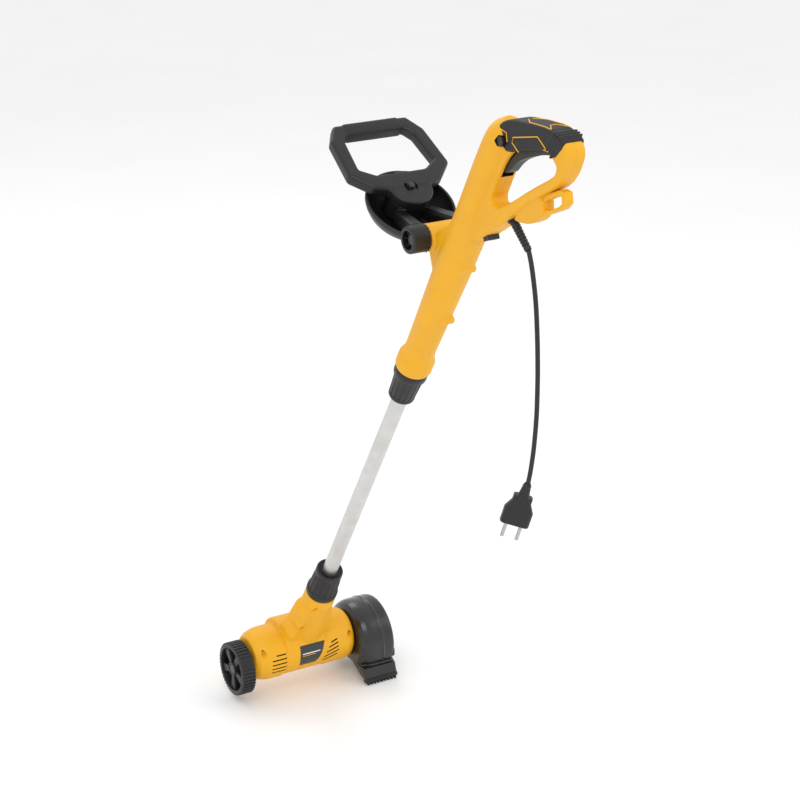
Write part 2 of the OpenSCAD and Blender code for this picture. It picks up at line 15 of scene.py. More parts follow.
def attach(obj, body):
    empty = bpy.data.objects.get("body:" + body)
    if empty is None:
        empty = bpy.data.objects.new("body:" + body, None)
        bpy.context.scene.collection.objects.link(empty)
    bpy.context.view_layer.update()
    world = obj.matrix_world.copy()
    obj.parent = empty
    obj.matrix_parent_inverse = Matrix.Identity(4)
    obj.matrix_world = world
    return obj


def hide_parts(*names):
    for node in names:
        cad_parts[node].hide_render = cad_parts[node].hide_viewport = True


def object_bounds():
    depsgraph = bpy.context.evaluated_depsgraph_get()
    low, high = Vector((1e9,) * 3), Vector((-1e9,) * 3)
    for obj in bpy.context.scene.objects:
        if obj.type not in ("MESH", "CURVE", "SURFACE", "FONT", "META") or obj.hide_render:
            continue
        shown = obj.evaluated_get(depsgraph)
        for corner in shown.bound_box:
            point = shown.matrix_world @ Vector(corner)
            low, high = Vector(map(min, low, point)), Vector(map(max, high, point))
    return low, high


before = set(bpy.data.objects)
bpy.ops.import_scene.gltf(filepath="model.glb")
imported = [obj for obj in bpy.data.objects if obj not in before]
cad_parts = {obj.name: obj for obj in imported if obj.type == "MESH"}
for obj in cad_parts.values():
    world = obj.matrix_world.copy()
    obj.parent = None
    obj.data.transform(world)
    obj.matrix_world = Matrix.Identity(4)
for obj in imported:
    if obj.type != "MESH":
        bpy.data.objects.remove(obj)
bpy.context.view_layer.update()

# ---------- frames ----------

TO_METRES = Matrix.Scale(0.001, 4)
POLE_TILT = radians(31)
ORIGIN = Vector((0, 0.60563, -0.91473))
AXLE_DROP = 0.0144
MACHINE = Matrix.Translation(ORIGIN) @ TO_METRES
POLE = Matrix.Translation(ORIGIN) @ Matrix.Rotation(POLE_TILT, 4, "X") @ TO_METRES
AXLE = Matrix.Translation(ORIGIN - Vector((0, 0, AXLE_DROP))) @ TO_METRES
ALONG_X = Matrix.Rotation(pi / 2, 4, "Y")
FACING = Matrix.Rotation(pi / 2, 4, "X")
POLE_TO_MACHINE = Matrix.Rotation(POLE_TILT, 4, "X")


# ---------- materials ----------

def new_material(name):
    material = bpy.data.materials.new(name)
    material.use_nodes = True
    return material, material.node_tree, material.node_tree.nodes["Principled BSDF"]


def node(tree, kind, **settings):
    made = tree.nodes.new(kind)
    for key, value in settings.items():
        if key in made.inputs:
            made.inputs[key].default_value = value
        else:
            setattr(made, key, value)
    return made


def noise_texture(tree, scale, detail=4.0, stretch=(1, 1, 1)):
    place = tree.nodes.new("ShaderNodeTexCoord")
    mapping = node(tree, "ShaderNodeMapping", Scale=stretch)
    tree.links.new(place.outputs["Object"], mapping.inputs["Vector"])
    texture = node(tree, "ShaderNodeTexNoise", Scale=scale, Detail=detail)
    tree.links.new(mapping.outputs["Vector"], texture.inputs["Vector"])
    return texture


def colour_between(tree, factor, low, high, from_low=0.3, from_high=0.7):
    ramp = tree.nodes.new("ShaderNodeValToRGB")
    ramp.color_ramp.elements[0].position = from_low
    ramp.color_ramp.elements[0].color = (*low, 1)
    ramp.color_ramp.elements[1].position = from_high
    ramp.color_ramp.elements[1].color = (*high, 1)
    tree.links.new(factor, ramp.inputs["Fac"])
    return ramp.outputs["Color"]


def worn(tree, colour, edge_colour, amount=0.35):
    """Colour that lightens along the convex edges, as handled plastic does."""
    geometry = tree.nodes.new("ShaderNodeNewGeometry")
    edges = node(tree, "ShaderNodeMapRange")
    edges.inputs["From Min"].default_value = 0.53
    edges.inputs["From Max"].default_value = 0.62
    edges.inputs["To Max"].default_value = amount
    tree.links.new(geometry.outputs["Pointiness"], edges.inputs["Value"])
    mix = node(tree, "ShaderNodeMix", data_type="RGBA")
    tree.links.new(edges.outputs["Result"], mix.inputs["Factor"])
    tree.links.new(colour, mix.inputs["A"])
    mix.inputs["B"].default_value = (*edge_colour, 1)
    return mix.outputs["Result"]


def relief(tree, shader, texture, strength, distance, edge=0.0):
    bump = node(tree, "ShaderNodeBump", Strength=strength, Distance=distance)
    tree.links.new(texture.outputs["Fac"], bump.inputs["Height"])
    if edge:
        bevel = node(tree, "ShaderNodeBevel", samples=4, Radius=edge)
        tree.links.new(bevel.outputs["Normal"], bump.inputs["Normal"])
    tree.links.new(bump.outputs["Normal"], shader.inputs["Normal"])


def roughness_between(tree, shader, texture, low, high):
    spread = node(tree, "ShaderNodeMapRange")
    spread.inputs["From Min"].default_value = 0.3
    spread.inputs["From Max"].default_value = 0.7
    spread.inputs["To Min"].default_value = low
    spread.inputs["To Max"].default_value = high
    tree.links.new(texture.outputs["Fac"], spread.inputs["Value"])
    tree.links.new(spread.outputs["Result"], shader.inputs["Roughness"])


def plastic(name, dark, light, edge_colour, rough, grain, bump, coat=0.0, edge=0.0):
    """Moulded plastic: fine grain, faint blotches, softer gloss where it is handled."""
    material, tree, shader = new_material(name)
    blotch = noise_texture(tree, 26, 5)
    fine = noise_texture(tree, grain, 3)
    colour = colour_between(tree, blotch.outputs["Fac"], dark, light)
    tree.links.new(worn(tree, colour, edge_colour), shader.inputs["Base Color"])
    roughness_between(tree, shader, blotch, *rough)
    relief(tree, shader, fine, bump, 0.0002, edge)
    shader.inputs["Coat Weight"].default_value = coat
    shader.inputs["Coat Roughness"].default_value = 0.15
    return material


def metal(name, dark, light, rough, stretch, scale, bump, edge=0.0):
    """Metal with a directional grain and small tarnish."""
    material, tree, shader = new_material(name)
    grain = noise_texture(tree, scale, 3, stretch)
    tarnish = noise_texture(tree, 45, 4)
    colour = colour_between(tree, tarnish.outputs["Fac"], dark, light)
    tree.links.new(colour, shader.inputs["Base Color"])
    shader.inputs["Metallic"].default_value = 1.0
    roughness_between(tree, shader, grain, *rough)
    relief(tree, shader, grain, bump, 0.0001, edge)
    return material


YELLOW = plastic(
    "yellow", (0.80, 0.39, 0.0015), (0.85, 0.42, 0.002), (0.90, 0.50, 0.01), (0.45, 0.58), 2400, 0.10,
)
ACCENT = plastic(
    "accent_yellow", (0.76, 0.36, 0.004), (0.82, 0.40, 0.006), (0.87, 0.48, 0.03), (0.4, 0.5), 2600, 0.1,
)
BLACK_TONES = ((0.006, 0.0055, 0.006), (0.010, 0.0095, 0.010), (0.035, 0.033, 0.035))
BLACK = plastic("black", *BLACK_TONES, (0.36, 0.52), 2200, 0.18)
BLACK_CAD = plastic("black_edged", *BLACK_TONES, (0.36, 0.52), 2200, 0.18, edge=0.0007)
GLOSSY = plastic(
    "glossy_black", (0.006, 0.006, 0.006), (0.010, 0.010, 0.010), (0.04, 0.04, 0.04),
    (0.22, 0.34), 1500, 0.06, 0.35,
)
SOFT = plastic(
    "soft_grip", (0.008, 0.006, 0.008), (0.013, 0.011, 0.013), (0.04, 0.036, 0.04),
    (0.55, 0.68), 1700, 0.45,
)
RUBBER = plastic(
    "rubber", (0.008, 0.0075, 0.008), (0.014, 0.013, 0.014), (0.045, 0.045, 0.045),
    (0.45, 0.6), 1500, 0.25,
)
# Painted shade: a near-black colour put on the walls of slots, vents, holes and pockets cut into lighter
# parts, standing in for the shade that falls inside them.
PAINTED_SHADE = plastic(
    "painted_recess_shade", (0.006, 0.005, 0.005), (0.012, 0.011, 0.011), (0.02, 0.02, 0.02), (0.6, 0.8), 900, 0.3,
)
LABEL = plastic(
    "label_film", (0.003, 0.006, 0.0055), (0.006, 0.009, 0.0085), (0.02, 0.025, 0.025),
    (0.2, 0.3), 600, 0.05, 0.5,
)
PRINT = plastic(
    "label_print", (0.70, 0.70, 0.68), (0.80, 0.80, 0.78), (0.9, 0.9, 0.9), (0.3, 0.4), 900, 0.05,
)
EVEN = (1, 1, 1)
ALLOY = metal(
    "brushed_tube", (0.60, 0.59, 0.575), (0.68, 0.67, 0.655), (0.34, 0.48), (1, 0.05, 0.05), 2600, 0.2,
)
CAST = metal("cast_plate", (0.45, 0.45, 0.45), (0.6, 0.6, 0.6), (0.4, 0.55), EVEN, 500, 0.5, 0.0004)
STEEL = metal("steel", (0.42, 0.42, 0.43), (0.56, 0.56, 0.57), (0.24, 0.38), EVEN, 1400, 0.1, 0.0003)
SCREW = metal("dark_screw", (0.06, 0.06, 0.065), (0.12, 0.12, 0.125), (0.3, 0.45), EVEN, 1400, 0.2, 0.0003)
COPPER = metal("copper", (0.45, 0.18, 0.07), (0.62, 0.27, 0.12), (0.3, 0.4), (1, 14, 14), 400, 0.8)
BRASS = metal("brass", (0.50, 0.36, 0.13), (0.62, 0.46, 0.18), (0.25, 0.4), EVEN, 900, 0.2, 0.0003)
WIRE = metal("wire", (0.36, 0.29, 0.16), (0.58, 0.48, 0.27), (0.28, 0.45), EVEN, 1200, 0.3)

CAD_LOOKS = {
    BLACK_CAD: ["lock_button", "rear_button", "pole_collet", "switch_body", "fan"],
    RUBBER: ["tube_lead"],
    ALLOY: ["shaft_tube"],
    CAST: ["gear_plate"],
    SCREW: ["shell_screws", "head_screws", "tilt_bolt", "tilt_nut", "guard_screws", "wheel_axle"],
    STEEL: ["trigger_pin", "trigger_spring", "plug_pins", "stator", "motor_bearings", "spindle",
            "spindle_gear", "spindle_bearing", "spindle_nut"],
    COPPER: ["armature", "commutator"],
    BRASS: ["brush_holders", "brush_hub"],
}
for look, names in CAD_LOOKS.items():
    for cad_name in names:
        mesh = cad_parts[cad_name].data
        mesh.materials.clear()
        mesh.materials.append(look)


# ---------- shape tools (millimetres, working frame) ----------

def make(verts, faces, material=None):
    mesh = bpy.data.meshes.new("shape")
    mesh.from_pydata([tuple(v) for v in verts], [], faces)
    shaper = bmesh.new()
    shaper.from_mesh(mesh)
    bmesh.ops.remove_doubles(shaper, verts=shaper.verts, dist=1e-4)
    bmesh.ops.recalc_face_normals(shaper, faces=shaper.faces)
    shaper.to_mesh(mesh)
    shaper.free()
    if material:
        mesh.materials.append(material)
    shape = bpy.data.objects.new("shape", mesh)
    bpy.context.scene.collection.objects.link(shape)
    return shape


def bake(shape):
    """Applies the modifiers of a shape."""
    graph = bpy.context.evaluated_depsgraph_get()
    mesh = bpy.data.meshes.new_from_object(shape.evaluated_get(graph))
    shape.modifiers.clear()
    shape.data = mesh
    return shape


def moved(shape, matrix):
    shape.data.transform(matrix)
    return shape


def shifted(shape, x, y, z):
    return moved(shape, Matrix.Translation((x, y, z)))


def join(*shapes):
    """One shape from several; materials are kept."""
    verts, faces, slots, looks = [], [], [], []
    for shape in shapes:
        base = len(verts)
        verts += [v.co.copy() for v in shape.data.vertices]
        own = list(shape.data.materials)
        for look in own:
            if look not in looks:
                looks.append(look)
        for face in shape.data.polygons:
            faces.append([base + i for i in face.vertices])
            slots.append(looks.index(own[face.material_index]) if own else 0)
        bpy.data.objects.remove(shape)
    mesh = bpy.data.meshes.new("shape")
    mesh.from_pydata(verts, [], faces)
    for look in looks:
        mesh.materials.append(look)
    mesh.polygons.foreach_set("material_index", slots)
    joined = bpy.data.objects.new("shape", mesh)
    bpy.context.scene.collection.objects.link(joined)
    return joined


def rounded(shape, width, segments=3, angle=35):
    bevel = shape.modifiers.new("round", "BEVEL")
    bevel.width = width
    bevel.segments = segments
    bevel.limit_method = "ANGLE"
    bevel.angle_limit = radians(angle)
    return bake(shape)


def fused(shape, voxel, smooth):
    """One skin over overlapping solids, with soft fillets."""
    remesh = shape.modifiers.new("fuse", "REMESH")
    remesh.mode = "VOXEL"
    remesh.voxel_size = voxel
    relax = shape.modifiers.new("relax", "SMOOTH")
    relax.factor = 0.5
    relax.iterations = smooth
    return bake(shape)


def boolean(shape, tool, operation):
    cutter = shape.modifiers.new("cut", "BOOLEAN")
    cutter.operation = operation
    cutter.solver = "EXACT"
    # The cut faces take the tool's material, so a tool in the painted shade colour paints shade on the
    # walls it leaves.
    cutter.material_mode = "TRANSFER"
    cutter.object = tool
    bake(shape)
    bpy.data.objects.remove(tool)
    return shape


def cut(shape, *tools):
    return boolean(shape, join(*tools), "DIFFERENCE")


def prism(outline, low, high, material=None):
    """An outline of [x, y] points, from z = low to z = high."""
    count = len(outline)
    verts = [(x, y, low) for x, y in outline] + [(x, y, high) for x, y in outline]
    faces = [list(range(count - 1, -1, -1)), list(range(count, 2 * count))]
    faces += [[i, (i + 1) % count, count + (i + 1) % count, count + i] for i in range(count)]
    return make(verts, faces, material)


ACROSS = Matrix(((0, 0, 1, 0), (1, 0, 0, 0), (0, 1, 0, 0), (0, 0, 0, 1)))


def across(outline, half, material=None, middle=0):
    """An outline of [forward, along] points, spread across the machine."""
    return moved(prism(outline, middle - half, middle + half, material), ACROSS)


def lathe(profile, steps=96, material=None, closed=False):
    """A profile of [radius, height] points turned about z."""
    rows = len(profile)
    verts = [
        (r * cos(2 * pi * j / steps), r * sin(2 * pi * j / steps), z)
        for j in range(steps)
        for r, z in profile
    ]
    spans = rows if closed else rows - 1
    faces = []
    for j in range(steps):
        k = (j + 1) % steps
        for i in range(spans):
            n = (i + 1) % rows
            faces.append([j * rows + i, k * rows + i, k * rows + n, j * rows + n])
    if not closed:
        for i in (0, rows - 1):
            if profile[i][0] > 0.001:
                faces.append([j * rows + i for j in range(steps)])
    return make(verts, faces, material)


def rod(radius, low, high, steps=48, material=None):
    return lathe([(0, low), (radius, low), (radius, high), (0, high)], steps, material)


def x_rod(radius, low, high, steps=48, material=None):
    return moved(rod(radius, low, high, steps, material), ALONG_X)


def brick(size, centre=(0, 0, 0), material=None):
    x, y, z = (side / 2 for side in size)
    return shifted(prism([(-x, -y), (x, -y), (x, y), (-x, y)], -z, z, material), *centre)


def wrapped(points, material=None):
    """The convex solid around some points."""
    shaper = bmesh.new()
    for point in points:
        shaper.verts.new(point)
    bmesh.ops.convex_hull(shaper, input=shaper.verts)
    loose = [v for v in shaper.verts if not v.link_faces]
    bmesh.ops.delete(shaper, geom=loose, context="VERTS")
    mesh = bpy.data.meshes.new("shape")
    shaper.to_mesh(mesh)
    shaper.free()
    if material:
        mesh.materials.append(material)
    shape = bpy.data.objects.new("shape", mesh)
    bpy.context.scene.collection.objects.link(shape)
    return shape


def ball_points(centre, radius, steps=14):
    return [
        Vector(centre) + radius * Vector((
            sin(pi * i / steps) * cos(2 * pi * j / (2 * steps)),
            sin(pi * i / steps) * sin(2 * pi * j / (2 * steps)),
            cos(pi * i / steps),
        ))
        for i in range(steps + 1)
        for j in range(2 * steps)
    ]


def softened(outline, rounds=2):
    """An outline with its corners cut away, round after round."""
    points = [Vector(p) for p in outline]
    for _ in range(rounds):
        points = [
            p.lerp(q, part)
            for p, q in zip(points, points[1:] + points[:1])
            for part in (0.2, 0.8)
        ]
    return [(p.x, p.y) for p in points]


def grown(outline, distance):
    """An outline moved outwards by a distance."""
    points = [Vector(p) for p in outline]
    area = sum(p.x * q.y - q.x * p.y for p, q in zip(points, points[1:] + points[:1]))
    side = 1 if area > 0 else -1
    result = []
    for before, here, after in zip(points[-1:] + points[:-1], points, points[1:] + points[:1]):
        a = (here - before).normalized()
        b = (after - here).normalized()
        normal_a = Vector((a.y, -a.x)) * side
        normal_b = Vector((b.y, -b.x)) * side
        middle = (normal_a + normal_b).normalized()
        reach = distance / max(0.5, middle.dot(normal_a))
        result.append(tuple(here + middle * reach))
    return result


def ribbon(points, radius, material, steps=8):
    """A slim bead along a line of points."""
    line = [Vector(p) for p in points]
    verts = []
    for i, point in enumerate(line):
        way = (line[min(i + 1, len(line) - 1)] - line[max(i - 1, 0)]).normalized()
        side = way.cross(Vector((0.31, 0.17, 0.93))).normalized()
        up = way.cross(side)
        for j in range(steps):
            turn = 2 * pi * j / steps
            verts.append(point + radius * (cos(turn) * side + sin(turn) * up))
    faces = [list(range(steps)), [len(verts) - 1 - j for j in range(steps)]]
    for i in range(len(line) - 1):
        for j in range(steps):
            k = (j + 1) % steps
            faces.append([i * steps + j, (i + 1) * steps + j, (i + 1) * steps + k, i * steps + k])
    return make(verts, faces, material)


def shade(shape, angle=38):
    shaper = bmesh.new()
    shaper.from_mesh(shape.data)
    for face in shaper.faces:
        face.smooth = True
    for edge in shaper.edges:
        edge.smooth = len(edge.link_faces) != 2 or edge.calc_face_angle() < radians(angle)
    shaper.to_mesh(shape.data)
    shaper.free()


def piece(shape, name, place, body, replaces=(), material=None, angle=38):
    """Puts a finished shape in the part's frame and makes it ride on a body."""
    shape.data.transform(place)
    shape.name = name
    shape.data.name = name
    if material:
        shape.data.materials.clear()
        shape.data.materials.append(material)
    shade(shape, angle)
    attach(shape, body)
    if replaces:
        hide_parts(*replaces)
    return shape


def half_of(shape, point, normal):
    """A copy of a shape, kept on the side of a plane that the normal points to."""
    half = bpy.data.objects.new("shape", shape.data.copy())
    bpy.context.scene.collection.objects.link(half)
    shaper = bmesh.new()
    shaper.from_mesh(half.data)
    bmesh.ops.bisect_plane(
        shaper, geom=shaper.verts[:] + shaper.edges[:] + shaper.faces[:],
        plane_co=point, plane_no=normal, clear_inner=True,
    )
    shaper.to_mesh(half.data)
    shaper.free()
    return half


def seam(shape, axis, at, depth=0.35, width=0.9):
    """Draws a shape's skin in a little beside a parting plane."""
    shape.data.update()
    for vertex in shape.data.vertices:
        gap = abs(vertex.co[axis] - at)
        if gap < width:
            inward = vertex.normal.copy()
            inward[axis] = 0
            vertex.co -= inward * depth * (1 - gap / width)


# ---------- camera ----------

def add_camera():
    camera = bpy.data.objects.new("camera", bpy.data.cameras.new("camera"))
    bpy.context.scene.collection.objects.link(camera)
    camera.data.sensor_width = 36
    camera.data.lens = 96.75
    camera.data.clip_start = 0.05
    turn = radians(-31)
    drop = radians(20.5)
    right = Vector((cos(turn), sin(turn), 0))
    ahead = Vector((-sin(turn) * cos(drop), cos(turn) * cos(drop), -sin(drop)))
    up = right.cross(ahead)
    camera.matrix_world = Matrix((
        (right.x, up.x, -ahead.x, -1.3907),
        (right.y, up.y, -ahead.y, -2.0057),
        (right.z, up.z, -ahead.z, 0.5862),
        (0, 0, 0, 1),
    ))
    bpy.context.scene.camera = camera
    bpy.context.scene.view_settings.view_transform = "Standard"


# ---------- cord ----------

CORD_ROUTE = [
    (0, 13, -140), (0, 9, -148), (0, 5, -160), (0, 1, -175), (0, -3, -192), (0, -6, -210),
    (0, -8, -230), (0, -10, -250), (0, -11, -270), (0, -12, -290), (0, -12, -310),
    (0, -12, -330), (0, -11, -350), (0, -9, -370), (0, -7, -388), (0, -4, -404),
    (0, -1, -420), (-1, 2, -434),
]
CORD_RADIUS = 0.003
CORD_EXIT = Vector((0, 47, -110))
RELIEF_END = Vector((0, 13, -140))
PLUG_AT = Vector((-1, 2, -434))
PLUG = (
    TO_METRES @ Matrix.Translation(PLUG_AT)
    @ Matrix.Rotation(radians(-31), 4, "Z") @ Matrix.Rotation(radians(17), 4, "Y")
)


def add_cord():
    plug = add_plug()
    curve = bpy.data.curves.new("cord_flex", "CURVE")
    curve.dimensions = "3D"
    curve.bevel_depth = CORD_RADIUS
    curve.bevel_resolution = 5
    spline = curve.splines.new("NURBS")
    spline.points.add(len(CORD_ROUTE) - 1)
    for point, place in zip(spline.points, CORD_ROUTE):
        point.co = (*[v * 0.001 for v in place], 1)
    spline.order_u = 4
    spline.use_endpoint_u = True
    spline.resolution_u = 6
    curve.materials.append(RUBBER)
    cord = bpy.data.objects.new("cord_flex", curve)
    bpy.context.scene.collection.objects.link(cord)
    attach(cord, "handle")
    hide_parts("cord")


def add_plug():
    neck = lathe([(0, 0), (4.2, 0), (4.6, -1), (7.6, -19), (7.6, -24), (0, -24)], 40)
    rings = []
    for z in (-3, -7, -11, -15):
        radius = 5.2 - 0.11 * z
        rings.append(lathe([(radius, z), (radius, z - 1.5), (0, z - 1.5), (0, z)], 40))
    waist = prism(softened([(-12, -7), (12, -7), (12, 7), (-12, 7)], 1), -38, -17)
    face = [(-18.5, -4), (-15, -8), (15, -8), (18.5, -4), (18.5, 4), (15, 8), (-15, 8), (-18.5, 4)]
    head = rounded(prism(face, -56.8, -36), 1.5, 3, 30)
    shoulders = wrapped(
        [Vector((x, y, -37)) for x, y in face] + [Vector((x * 0.62, y * 0.8, -24)) for x, y in face]
    )
    body = fused(join(neck, waist, head, shoulders, *rings), 0.55, 3)
    return piece(body, "plug_moulding", PLUG, "handle", ["plug_body"], BLACK)


def add_strain_relief():
    run = RELIEF_END - CORD_EXIT
    place = TO_METRES @ Matrix.Translation(CORD_EXIT) @ run.to_track_quat("Z", "X").to_matrix().to_4x4()
    long = run.length
    profile = [(0, -10), (5.2, -10), (5.2, 0)]
    ribs = 9
    for i in range(ribs):
        low = 2 + i * (long - 5) / ribs
        pitch = (long - 5) / ribs
        radius = 5.5 - 1.0 * low / long
        profile += [(radius - 0.8, low), (radius - 0.8, low + 0.35 * pitch), (radius, low + 0.45 * pitch),
                    (radius, low + 0.9 * pitch)]
    profile += [(4.4, long - 1), (3.3, long), (0, long)]
    sleeve = lathe(profile, 40)
    collar = lathe([(0, -3), (7.2, -3), (7.2, 1.2), (6.2, 2.2), (0, 2.2)], 40)
    piece(join(sleeve, collar), "cord_sleeve", place, "handle", ["strain_relief"], RUBBER)


# ---------- handle ----------

BODY_PROFILE = [
    (0, 641), (23.5, 641), (25, 643), (25, 661), (22.2, 666), (20.9, 674), (20.5, 684), (24, 830),
    (24.5, 930), (26, 1000), (26, 1040), (24.5, 1054), (21, 1064), (12, 1076), (0, 1079),
]
LOOP_OUTER = [
    (10, 1050), (8, 1070), (0, 1080), (-14, 1093), (-39, 1111), (-73, 1133), (-94, 1140),
    (-110, 1141), (-120, 1131), (-123, 1110), (-120, 1087), (-99, 1049), (-85, 1023),
    (-71, 993), (-61, 968), (-45, 935), (-28, 905), (0, 880), (10, 1000),
]
LOOP_HOLE = [
    (-28, 975), (-45, 980), (-63, 1009), (-82, 1046), (-107, 1089), (-110, 1099), (-107, 1107),
    (-97, 1108), (-88, 1109.5), (-73, 1101), (-58, 1087), (-44, 1073), (-32, 1060), (-27, 1040),
    (-26, 1010),
]
LOBE = [(-70, 985), (-84, 993), (-99, 1005), (-111, 1023), (-114, 1038), (-104, 1052), (-90, 1040)]
TRIGGER = [
    (-24.5, 1020), (-32, 1024), (-36, 1040), (-42, 1054), (-52, 1068), (-63, 1081), (-77, 1096),
    (-90, 1107), (-95, 1113), (-89, 1120), (-72, 1107), (-58, 1093), (-46, 1080), (-36, 1066),
    (-30, 1052), (-26, 1036),
]
TRIGGER_SLOT = [
    (-10, 1014), (-34, 1012), (-40, 1040), (-60, 1066), (-100, 1104), (-99, 1120), (-90, 1127),
    (-66, 1115), (-50, 1102), (-34, 1088), (-22, 1074), (-13, 1054),
]
GRIP_TOP = [
    (4, 1068), (-2, 1080), (-14, 1093), (-39, 1111), (-73, 1133), (-94, 1140), (-106, 1140),
    (-99, 1112), (-86, 1117), (-73, 1104), (-58, 1089), (-44, 1075), (-34, 1064), (-20, 1052),
]
HOOK_OUTER = [(-96, 1050), (-127, 1090), (-142, 1073), (-112, 1030), (-96, 1024)]
HOOK_HOLE = [(-104, 1047), (-125.5, 1079), (-134, 1069.5), (-113, 1039)]
SHELL_SCREWS = [(16.5, 700), (-17, 880), (17, 930), (17, 1020), (-116.5, 1100), (-96, 1130), (-72, 1012)]
LOOP_HALF = 14
GRIP_HALF = 16.2
TILT_AT = (45.5, 842)
REAR_BUTTON = (-40.5, 926)
LOCK_AT = (-13, 1060.5)


def trigger_slot():
    # The slot's walls get the painted shade colour.
    return across(TRIGGER_SLOT, 8.6, PAINTED_SHADE)


def lock_recess():
    # The recess walls get the painted shade colour.
    painted_recess_shade = moved(rod(7.8, -40, -9.2, 6, PAINTED_SHADE), ALONG_X)
    return shifted(painted_recess_shade, 0, *LOCK_AT)


def handle_body():
    body = lathe(BODY_PROFILE, 128)
    loop = cut(across(softened(LOOP_OUTER, 1), LOOP_HALF), across(softened(LOOP_HOLE, 1), 40))
    loop = rounded(loop, 4.5, 4)
    bracket = rounded(across(
        [(10, 806), (34, 826), (40, 842), (34, 866), (15, 896), (0, 896), (0, 806)], 18), 3, 3)
    barrel = shifted(rounded(x_rod(17.5, -22.2, 22.2, 64), 1.2, 2), 0, *TILT_AT)
    lobe = rounded(across(softened(LOBE, 1), 9), 3, 3)
    pads = [rounded(brick((24, 22, 9), (3, -14.6, s)), 2, 3) for s in (752, 847)]
    panel = wrapped(
        ball_points((-12, -6, 792), 13.5, 10) + ball_points((-12, -6, 700), 10.8, 10)
    )
    pad_low = rounded(brick((18, 20, 30), (0, -17, 905)), 4, 3)
    return fused(join(body, loop, bracket, barrel, lobe, panel, pad_low, *pads), 1.25, 7)


def add_handle():
    body = handle_body()
    body.data.materials.clear()
    body.data.materials.append(YELLOW)
    seam(body, 0, 0)
    wells = [
        shifted(x_rod(3.9, 11.4, 60, 32, YELLOW), 0, *place) for place in SHELL_SCREWS
    ]
    # The rear button's hole and the cord gland leave painted shade on their walls.
    button_hole = moved(brick((17, 13, 26), (0, 0, 0), PAINTED_SHADE), Matrix.Rotation(radians(-53), 4, "X"))
    gland = rod(7.4, -14, 30, 32, PAINTED_SHADE)
    run = RELIEF_END - CORD_EXIT
    to_pole = POLE.inverted() @ TO_METRES @ Matrix.Translation(CORD_EXIT)
    moved(gland, to_pole @ run.to_track_quat("Z", "X").to_matrix().to_4x4())
    cut(body, trigger_slot(), lock_recess(), shifted(button_hole, 0, *REAR_BUTTON), gland, *wells)
    left = half_of(body, (-0.05, 0, 0), (-1, 0, 0))
    right = half_of(body, (0.05, 0, 0), (1, 0, 0))
    bpy.data.objects.remove(body)
    piece(left, "shell_skin_left", POLE, "handle", ["handle_shell_left"])
    piece(right, "shell_skin_right", POLE, "handle", ["handle_shell_right"])


def add_hook():
    hook = cut(across(softened(HOOK_OUTER, 1), 6), across(softened(HOOK_HOLE, 1), 20))
    hook = rounded(hook, 1.6, 3, 30)
    piece(hook, "hook_skin", POLE, "handle", ["cord_hook"], YELLOW)


def outline_span(outline, forward):
    """Lowest and highest place of an outline at a distance forward."""
    crossings = []
    for (a, low), (b, high) in zip(outline, outline[1:] + outline[:1]):
        if min(a, b) <= forward <= max(a, b) and a != b:
            crossings.append(low + (high - low) * (forward - a) / (b - a))
    return min(crossings), max(crossings)


def on_top(x, forward, outline):
    """A point on the grip's upper face, which falls away at its edges."""
    beyond = max(0, abs(x) - 10.5)
    return (x, forward, outline_span(outline, forward)[1] + 0.15 - beyond ** 2 / 12)


def fine_line(points, step=2.0):
    line = []
    for p, q in zip(points, points[1:]):
        count = max(1, int((Vector(q) - Vector(p)).length / step))
        line += [tuple(Vector(p).lerp(Vector(q), i / count)) for i in range(count)]
    return line + [points[-1]]


def add_grip():
    outline = grown(softened(GRIP_TOP, 1), 2.2)
    cover = rounded(across(outline, GRIP_HALF), 5.5, 4)
    ribs = []
    for forward in (-86, -91, -96):
        low, high = outline_span(outline, forward)
        ribs.append(rounded(across([
            (forward - 1.3, low - 0.7), (forward + 1.3, low - 0.7),
            (forward + 1.3, high + 0.9), (forward - 1.3, high + 0.9)], GRIP_HALF + 0.9), 1.0, 2))
    side_panel = [(-36, 1077), (-31, 1081), (-64, 1112), (-80, 1113), (-60, 1096)]
    panels = [
        rounded(across(side_panel, 0.8, None, side * (GRIP_HALF + 0.1)), 0.5, 2) for side in (-1, 1)
    ]
    cover = fused(join(cover, *ribs, *panels), 0.8, 3)
    cover.data.materials.clear()
    cover.data.materials.append(SOFT)
    cut(cover, trigger_slot(), lock_recess())
    piece(cover, "grip_cover", POLE, "handle", ["grip_overmould"])

    beads = []
    for side in (-1, 1):
        x = side * (GRIP_HALF + 0.25)
        flank = [(-45.5, 1072.5), (-29.5, 1073), (-27.5, 1079.5), (-64.5, 1114.5), (-84, 1114)]
        beads.append(ribbon([(x, *p) for p in flank], 0.75, ACCENT))
        front = [(-2.5, 1070), (-14, 1074.5), (-21, 1066.5)]
        beads.append(ribbon([(side * (GRIP_HALF + 0.2), *p) for p in front], 0.7, ACCENT))
    top = [(-3, -26), (-13, -40), (-13, -77), (-4, -64), (4, -64), (13, -77), (13, -40), (3, -26)]
    path = fine_line([(*p, 0) for p in top])
    beads.append(ribbon([on_top(x, forward, outline) for x, forward, _ in path], 0.75, ACCENT))
    piece(join(*beads), "grip_lines", POLE, "handle")


def add_trigger():
    lever = rounded(across(softened(TRIGGER, 1), 8), 2.2, 4, 30)
    piece(lever, "trigger_skin", POLE, "trigger", ["trigger"], BLACK)


# ---------- pole collars ----------

def fluted(profile, flutes, depth, low, high, steps=192, material=None):
    """A turned ring whose skin between two heights has shallow flutes."""
    rows = len(profile)
    verts = []
    for j in range(steps):
        turn = 2 * pi * j / steps
        wave = max(0.0, cos(flutes * turn)) ** 0.5
        for r, z in profile:
            dip = depth * wave if low <= z <= high else 0
            verts.append(((r - dip) * cos(turn), (r - dip) * sin(turn), z))
    faces = []
    for j in range(steps):
        k = (j + 1) % steps
        for i in range(rows):
            n = (i + 1) % rows
            faces.append([j * rows + i, k * rows + i, k * rows + n, j * rows + n])
    return make(verts, faces, material)


